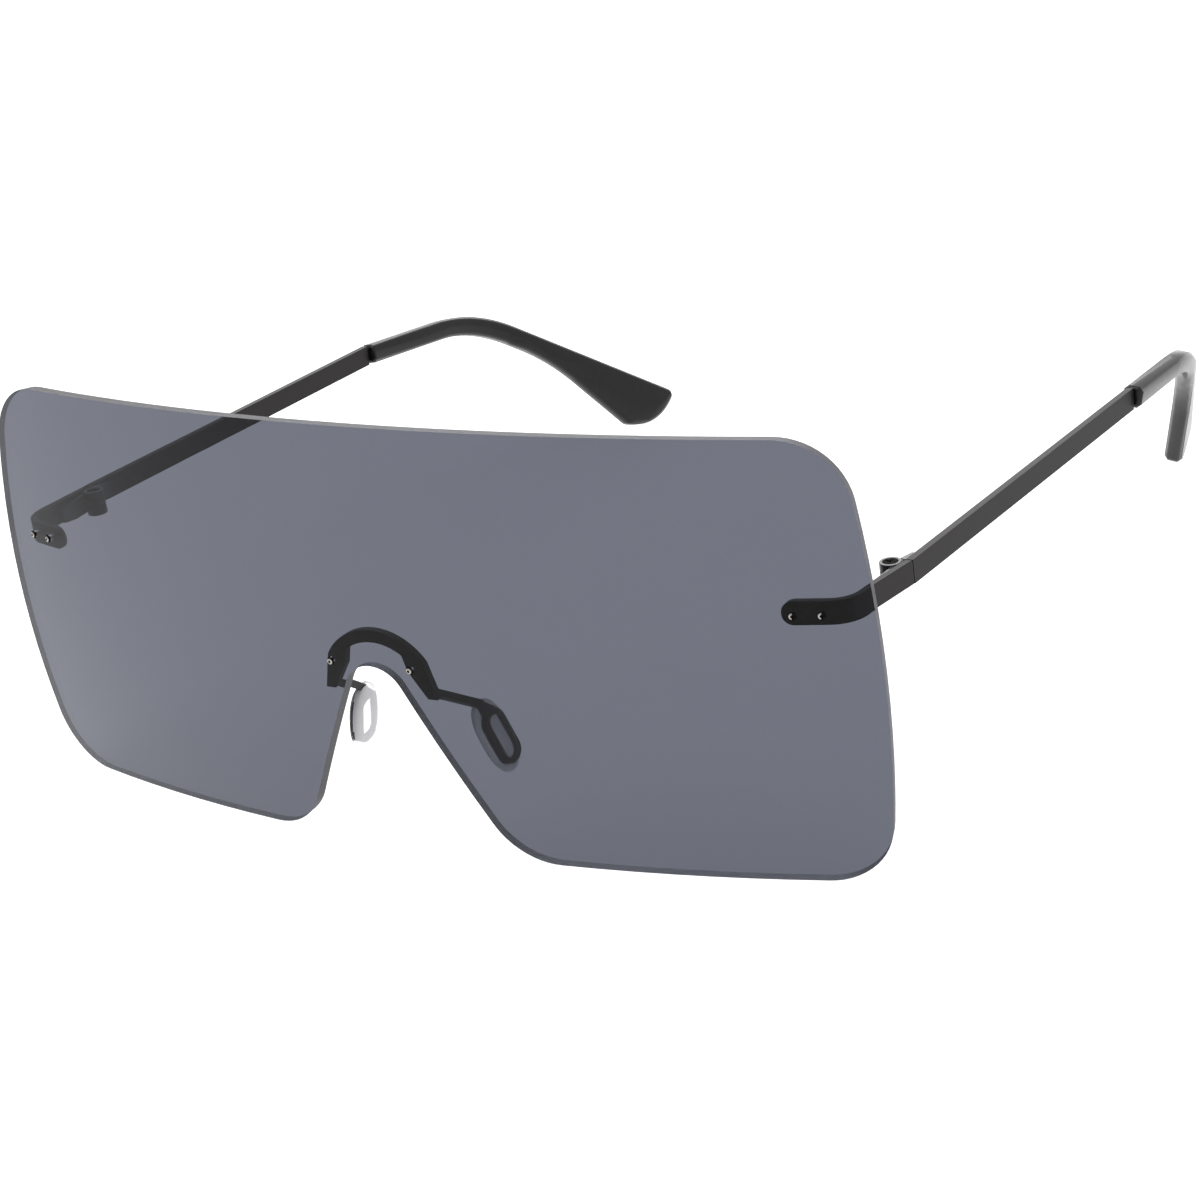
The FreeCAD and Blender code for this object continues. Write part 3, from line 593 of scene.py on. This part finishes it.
@dataclass
class LensScrews:
    """A pair of lens screws with domed heads and round sockets, on the CAD screws' axes.

    Attributes:
        node: the CAD node of the pair.
        glint_turn: where the painted highlight band starts and stops, as shares of a turn.
        spokes: the columns round each screw.
        dome_rows: the rows from the socket's edge to the head's.
        glint_rows: how many rings of faces the painted highlight band takes, from the socket
            outwards.
        socket_share: the socket's radius, as a share of the head's.
        socket_depth: the depth of its floor, as a share of the head's height.
        head_share: points that lie past this share of the widest radius are the head's edge.
        crisp_degrees: edges that turn by more than this stay crisp.
    """

    node: str
    glint_turn: tuple[float, float]
    spokes: int = 48
    dome_rows: int = 14
    glint_rows: int = 5
    socket_share: float = 0.35
    socket_depth: float = 0.8
    head_share: float = 0.9
    crisp_degrees: float = 40.0

    def build(self) -> None:
        """Makes both screws as one piece, places it and dresses it."""
        points = NodeMesh.of(self.node).points
        first = points[:, 0] < points[:, 0].mean()
        grids = np.stack([self.revolve(points[first]), self.revolve(points[~first])])
        name = self.node.replace("screws", "domed_screws")
        mesh = closed_mesh(name, grids)
        mesh.set_sharp_from_angle(angle=math.radians(self.crisp_degrees))
        piece = link_mesh(name, mesh)
        place_piece(piece, FRONT_BODY, (self.node,))
        # The bright steel band is a painted highlight on the black oxide head.
        dress(piece, GLINT_PAINTED_STEEL, BLACK_OXIDE)
        piece.data.polygons.foreach_set("material_index", self.blackened(grids))

    def blackened(self, grids: np.ndarray) -> np.ndarray:
        """Tells the painted highlight band round each socket from the rest.

        Args:
            grids: the screws' grids.

        Returns:
            For each face of the mesh, first the rings of quads and then the end fans, 0 in the
            painted highlight band, which takes part of the turn of the first rings after the
            socket's wall, and 1 elsewhere.
        """
        count, rows, columns = grids.shape[:3]
        rings = np.ones((count, rows - 3, columns))
        start, stop = (round(share * columns) for share in self.glint_turn)
        rings[:, 1:1 + self.glint_rows, start:stop] = 0
        fans = np.ones(2 * count * columns)
        return np.concatenate([rings.ravel(), fans]).astype(np.int32)

    def revolve(self, points: np.ndarray) -> np.ndarray:
        """One screw: a profile of distances along its axis and radii, turned about the axis.

        Args:
            points: the CAD screw's points, in even rings round its axis.

        Returns:
            A grid that runs from the socket's floor over the head, which is a quarter of an
            ellipse, to the back end of the shank. The axis is the way that the points spread
            most, and the head is where they lie farthest from it.
        """
        middle = points.mean(axis=0)
        axis = np.linalg.eigh((points - middle).T @ (points - middle))[1][:, 2]
        axis *= np.sign(axis[1])
        along = (points - middle) @ axis
        radii = np.linalg.norm(points - middle - np.outer(along, axis), axis=1)
        wide = radii.max()
        seat = along[radii > self.head_share * wide].max()
        front, back = along.min(), along.max()
        thin = radii[along > back - MICRON].max()
        angle = np.linspace(math.asin(self.socket_share), math.pi / 2, self.dome_rows)
        floor = front + self.socket_depth * (seat - front)
        socket = self.socket_share * wide
        distances = [[floor, floor], seat - (seat - front) * np.cos(angle), [seat, back, back]]
        widths = [[0.0, socket], wide * np.sin(angle), [thin, thin, 0.0]]
        spin = np.linspace(0, 2 * math.pi, self.spokes, endpoint=False)
        side = np.cross(axis, (0.0, 0.0, 1.0))
        side /= np.linalg.norm(side)
        ring = np.outer(np.cos(spin), side) + np.outer(np.sin(spin), np.cross(axis, side))
        core = middle + np.outer(np.concatenate(distances), axis)
        return core[:, None] + np.concatenate(widths)[:, None, None] * ring


@dataclass
class ShieldLens:
    """The one-piece lens with the sleeves in its holes, and its screws.

    Attributes:
        rim_cosine: a face is steep where less than this share of its normal points front or
            back.
        hole_reach_mm: a steep face nearer than this to a screw is the wall of its hole.
        crescent: the part of a turn that takes the painted highlight round the wearer's left end
            screws.
        ring: the same for the other screws, which is all of the turn.
    """

    rim_cosine: float = 0.7
    hole_reach_mm: float = 0.9
    crescent: tuple[float, float] = (0.27, 0.77)
    ring: tuple[float, float] = (0.0, 1.0)

    def build(self) -> None:
        """Makes the lens with a polished and a ground finish, dresses the sleeves, adds screws."""
        # How far round each pair of lens screws the painted highlight runs.
        glint_turns = {
            "bridge_screws": self.ring,
            "end_piece_screws_left": self.crescent,
            "end_piece_screws_right": self.ring,
        }
        shape = NodeMesh.of("shield_lens")
        piece = link_mesh("lens_shell", shape.to_mesh("lens_shell", true_normals=True))
        place_piece(piece, FRONT_BODY, ("shield_lens",))
        dress(piece, SMOKE_POLYCARBONATE, GROUND_POLYCARBONATE)
        piece.data.polygons.foreach_set("material_index", self.rim(shape, tuple(glint_turns)))
        for node, glint_turn in glint_turns.items():
            dress(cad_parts[node.replace("screws", "bushings")], CLEAR_NYLON)
            LensScrews(node, glint_turn).build()

    def rim(self, shape: NodeMesh, screws: tuple[str, ...]) -> np.ndarray:
        """Tells the ground rim from the polished faces and the reamed holes.

        Args:
            shape: the lens.
            screws: the CAD nodes of the screws in the holes.

        Returns:
            For each triangle, 1 where its normal is more than about 45 degrees from straight
            ahead and straight back and no screw is near, as seen from the front, and 0
            elsewhere.
        """
        areas = shape.areas
        steep = np.abs(areas[:, 1]) < self.rim_cosine * np.linalg.norm(areas, axis=1)
        across = shape.middles[:, None, ::2]
        near = np.concatenate([NodeMesh.of(node).points for node in screws])[None, :, ::2]
        apart = np.linalg.norm(across - near, axis=2).min(axis=1)
        return (steep & (apart > self.hole_reach_mm * MM)).astype(np.int32)


def signed_power(values: np.ndarray, exponent: float) -> np.ndarray:
    """The power of each value's size, with its sign."""
    return np.sign(values) * np.abs(values) ** exponent


@dataclass
class NosePad:
    """A clear slip-on pad: a crowned oval that closes round the bracket's loop.

    Attributes:
        side: the pad's side.
        rows: the latitudes, poles included.
        spokes: the longitudes.
        outline_power: the power that shapes the outline. At 1 it is an ellipse, below 1 fuller.
        crown_power: the same for the section through its thickness.
    """

    side: Side
    rows: int = 40
    spokes: int = 96
    outline_power: float = 0.8
    crown_power: float = 0.8

    def build(self) -> None:
        """Makes the pad, places it and dresses it."""
        name = f"pad_{self.side.value}"
        piece = link_mesh(name, self.surface(name))
        place_piece(piece, FRONT_BODY, (f"nose_pad_{self.side.value}",))
        dress(piece, CLEAR_SILICONE, FROSTED_SILICONE)
        piece.data.polygons.foreach_set("material_index", self.nose_side(piece.data))

    def nose_side(self, mesh: bpy.types.Mesh) -> np.ndarray:
        """Tells the frosted side from the clear one.

        Args:
            mesh: the pad.

        Returns:
            For each face, 1 where it looks towards the middle plane and 0 elsewhere.
        """
        normals = np.empty(len(mesh.polygons) * 3)
        mesh.polygons.foreach_get("normal", normals)
        outwards = 1 if self.side is Side.LEFT else -1
        return (outwards * normals[::3] < 0).astype(np.int32)

    def seat(self) -> tuple[np.ndarray, np.ndarray, np.ndarray]:
        """Finds the CAD pad's middle, axes and half sizes.

        Returns:
            The middle, the unit axes as rows (thickness, width, length) and the half sizes
            along them. The thickness is the way that most of the surface faces, and the width
            is the narrowest way across the face, tried at each degree.
        """
        shape = NodeMesh.of(f"nose_pad_{self.side.value}")
        areas = shape.areas
        facing = areas.T @ (areas / np.linalg.norm(areas, axis=1)[:, None])
        thickness = np.linalg.eigh(facing)[1][:, 2]
        level = np.cross(thickness, (0.0, 0.0, 1.0))
        level /= np.linalg.norm(level)
        upright = np.cross(level, thickness)
        turns = np.radians(np.arange(0, 180))
        ways = np.outer(np.cos(turns), level) + np.outer(np.sin(turns), upright)
        spans = np.ptp(shape.points @ ways.T, axis=0)
        width = ways[spans.argmin()]
        axes = np.array([thickness, width, np.cross(thickness, width)])
        along = shape.points @ axes.T
        low, high = along.min(axis=0), along.max(axis=0)
        return (low + high) / 2 @ axes, axes, (high - low) / 2

    def surface(self, name: str) -> bpy.types.Mesh:
        """A superellipsoid: signed powers of the cosines and sines of latitude and longitude.

        Args:
            name: the mesh's name.

        Returns:
            A closed mesh, its latitudes joined by rings of quads and a fan at each pole.
        """
        middle, axes, half = self.seat()
        latitude = np.linspace(-math.pi / 2, math.pi / 2, self.rows)[:, None]
        longitude = np.linspace(0, 2 * math.pi, self.spokes, endpoint=False)[None, :]
        ring = signed_power(np.cos(latitude), self.crown_power)
        local = np.stack(
            [
                signed_power(np.sin(latitude), self.crown_power) + 0 * longitude,
                ring * signed_power(np.cos(longitude), self.outline_power),
                ring * signed_power(np.sin(longitude), self.outline_power),
            ],
            axis=-1,
        )
        return closed_mesh(name, (middle + (local * half) @ axes)[None])


@dataclass
class Bridge:
    """The bridge bracket with its two pads.

    Attributes:
        edge_mm: the width of the bracket's broken edges.
    """

    edge_mm: float = 0.12

    def build(self) -> None:
        """Makes and dresses the bracket, then the pads."""
        piece = softened("bridge_bracket", "bridge_arch", self.edge_mm)
        place_piece(piece, FRONT_BODY, ("bridge_bracket",))
        dress(piece, GUNMETAL_LACQUER)
        for side in Side:
            NosePad(side).build()


@dataclass
class HingedSide:
    """One side: the end piece on the lens, the hinge, the temple and its tip.

    Attributes:
        side: the side.
        edge_mm: the width of the broken edges of the end piece and the temple.
        leaf_edge_mm: the same for the hinge leaves.
        recess_share: the screw's cross recess lies within this share of the head's radius.
        recess_depth_mm: and within this depth.
    """

    side: Side
    edge_mm: float = 0.12
    leaf_edge_mm: float = 0.08
    recess_share: float = 0.8
    recess_depth_mm: float = 0.4

    def build(self) -> None:
        """Makes the metal pieces with broken edges, the rounded tip and the hinge screw."""
        word = self.side.value
        moving = self.side.temple_body
        metal = (
            ("end_piece", "end_plate", FRONT_BODY, GUNMETAL_LACQUER, self.edge_mm),
            ("hinge_front_leaf", "front_leaf", FRONT_BODY, BRUSHED_STEEL, self.leaf_edge_mm),
            ("hinge_temple_leaf", "temple_leaf", moving, BRUSHED_STEEL, self.leaf_edge_mm),
            ("temple", "temple_strip", moving, GUNMETAL_LACQUER, self.edge_mm),
        )
        for node, name, body, finish, edge_mm in metal:
            piece = softened(f"{node}_{word}", f"{name}_{word}", edge_mm)
            place_piece(piece, body, (f"{node}_{word}",))
            dress(piece, finish)
        node = f"temple_tip_{word}"
        tip = rounded(node, f"tip_sleeve_{word}")
        place_piece(tip, moving, (node,))
        dress(tip, BLACK_ACETATE)
        self.screw()

    def screw(self) -> None:
        """Makes the hinge screw, black but for the walls and floor of its cross recess, which are
        painted bright as a highlight.
        """
        node = f"hinge_screw_{self.side.value}"
        shape = NodeMesh.of(node)
        name = f"hinge_pin_{self.side.value}"
        piece = link_mesh(name, shape.to_mesh(name, true_normals=True))
        place_piece(piece, FRONT_BODY, (node,))
        # The recess faces take a painted highlight of bright steel.
        dress(piece, HINGE_OXIDE, RECESS_GLINT_PAINT)
        piece.data.polygons.foreach_set("material_index", self.recess(shape))

    def recess(self, shape: NodeMesh) -> np.ndarray:
        """Tells the cross recess, which takes the painted highlight, from the rest of the hinge
        screw.

        Args:
            shape: the screw, which stands upright.

        Returns:
            For each triangle, 1 where its middle is below the top of the head but not as deep
            as the head, and well inside the head's edge, and 0 elsewhere.
        """
        middles = shape.middles
        low, high = shape.points.min(axis=0), shape.points.max(axis=0)
        reach = np.linalg.norm((middles - (low + high) / 2)[:, :2], axis=1)
        drop = high[2] - middles[:, 2]
        inside = reach < self.recess_share * (high[0] - low[0]) / 2
        sunk = (drop > MICRON) & (drop < self.recess_depth_mm * MM)
        return (inside & sunk).astype(np.int32)


def direction(azimuth: float, elevation: float) -> Vector:
    """Turns two angles of view into a direction.

    Args:
        azimuth: degrees round from straight ahead of the object, towards its +X side.
        elevation: degrees above the level.

    Returns:
        The unit vector from the object to a place that sees it at these angles.
    """
    a, e = math.radians(azimuth), math.radians(elevation)
    return Vector((math.sin(a) * math.cos(e), -math.cos(a) * math.cos(e), math.sin(e)))


@dataclass(frozen=True)
class Softbox:
    """A square lamp that points at the middle of the object.

    Attributes:
        name: the lamp's name.
        azimuth: where it stands round the object, in degrees.
        elevation: how high it stands, in degrees.
        distance: how far away it stands, in metres.
        size: its side, in metres.
        watts: its power.
    """

    name: str
    azimuth: float
    elevation: float
    distance: float
    size: float
    watts: float

    def build(self, middle: Vector) -> None:
        """Adds the lamp.

        Args:
            middle: the point that it faces.
        """
        lamp = bpy.data.lights.new(self.name, "AREA")
        lamp.shape = "SQUARE"
        lamp.size = self.size
        lamp.energy = self.watts
        held = bpy.data.objects.new(self.name, lamp)
        back = direction(self.azimuth, self.elevation)
        held.location = middle + back * self.distance
        held.rotation_mode = "QUATERNION"
        held.rotation_quaternion = back.to_track_quat("Z", "Y")
        bpy.context.scene.collection.objects.link(held)


@dataclass
class Studio:
    """A white table, soft light and the camera.

    Attributes:
        floor_colour: the table top's own colour, as an sRGB hex value.
        floor_size: its side, in metres.
        floor_roughness: its roughness.
        floor_glow: the strength of the light from below it.
        sky_colour: the colour of that light and of the surround.
        sky_strength: the strength of the surround.
        azimuth: where the camera stands round the object, in degrees.
        elevation: how high it stands, in degrees.
        roll: how far it is turned about its own axis, in degrees.
        distance: how far it stands from the target, in metres.
        target: the point that it faces.
        focal_mm: its focal length.
        near_clip: the nearest that it sees, in metres.
        softboxes: the lamps.
    """

    floor_colour: str = "#8a8a8a"
    floor_size: float = 6.0
    floor_roughness: float = 0.9
    floor_glow: float = 1.0
    sky_colour: str = "#ffffff"
    sky_strength: float = 1.0
    azimuth: float = 33.46
    elevation: float = 22.46
    roll: float = -8.19
    distance: float = 0.3794
    target: tuple[float, float, float] = (0.0202, -0.0570, 0.0280)
    focal_mm: float = 85.19
    near_clip: float = 0.01
    softboxes: tuple[Softbox, ...] = (
        Softbox("top_softbox", 10.0, 80.0, 0.9, 0.9, 9.0),
        Softbox("back_softbox", 210.0, 30.0, 0.9, 0.6, 3.0),
    )

    def build(self) -> None:
        """Makes the floor, the sky, the lamps and the camera."""
        self.floor()
        self.sky()
        middle = (CAD_BOX[0] + CAD_BOX[1]) / 2
        for softbox in self.softboxes:
            softbox.build(middle)
        self.camera()
        bpy.context.scene.view_settings.view_transform = "Standard"
        bpy.context.scene.view_settings.look = "None"

    def floor(self) -> None:
        """A square table top at height 0, of opal acrylic sheet lit from below."""
        half = self.floor_size / 2
        grid = np.array([(-half, -half, 0), (half, -half, 0), (half, half, 0), (-half, half, 0)])
        mesh = bpy.data.meshes.new("table_top")
        mesh.from_pydata(grid, [], [(0, 1, 2, 3)])
        table = link_mesh("table_top", mesh)
        material = bpy.data.materials.new("opal_acrylic_sheet")
        material.use_nodes = True
        shader = material.node_tree.nodes["Principled BSDF"]
        shader.inputs["Base Color"].default_value = linear(self.floor_colour)
        shader.inputs["Roughness"].default_value = self.floor_roughness
        shader.inputs["Emission Color"].default_value = linear(self.sky_colour)
        shader.inputs["Emission Strength"].default_value = self.floor_glow
        mesh.materials.append(material)

    def sky(self) -> None:
        """An even white surround."""
        world = bpy.data.worlds.new("studio_surround")
        world.use_nodes = True
        surround = world.node_tree.nodes["Background"]
        surround.inputs["Color"].default_value = linear(self.sky_colour)
        surround.inputs["Strength"].default_value = self.sky_strength
        bpy.context.scene.world = world

    def camera(self) -> None:
        """The camera at the photograph's angle, rolled about its own axis."""
        lens = bpy.data.cameras.new("camera")
        lens.lens = self.focal_mm
        lens.clip_start = self.near_clip
        held = bpy.data.objects.new("camera", lens)
        back = direction(self.azimuth, self.elevation)
        held.location = Vector(self.target) + back * self.distance
        held.rotation_mode = "QUATERNION"
        level = back.to_track_quat("Z", "Y")
        roll = Matrix.Rotation(math.radians(self.roll), 3, "Z").to_quaternion()
        held.rotation_quaternion = level @ roll
        bpy.context.scene.collection.objects.link(held)
        bpy.context.scene.camera = held


def main() -> None:
    """Builds and dresses each sub-assembly, then the studio."""
    logging.basicConfig(level=logging.INFO, format="%(message)s")
    ShieldLens().build()
    Bridge().build()
    for side in Side:
        HingedSide(side).build()
    Studio().build()


if __name__ == "__main__":
    main()
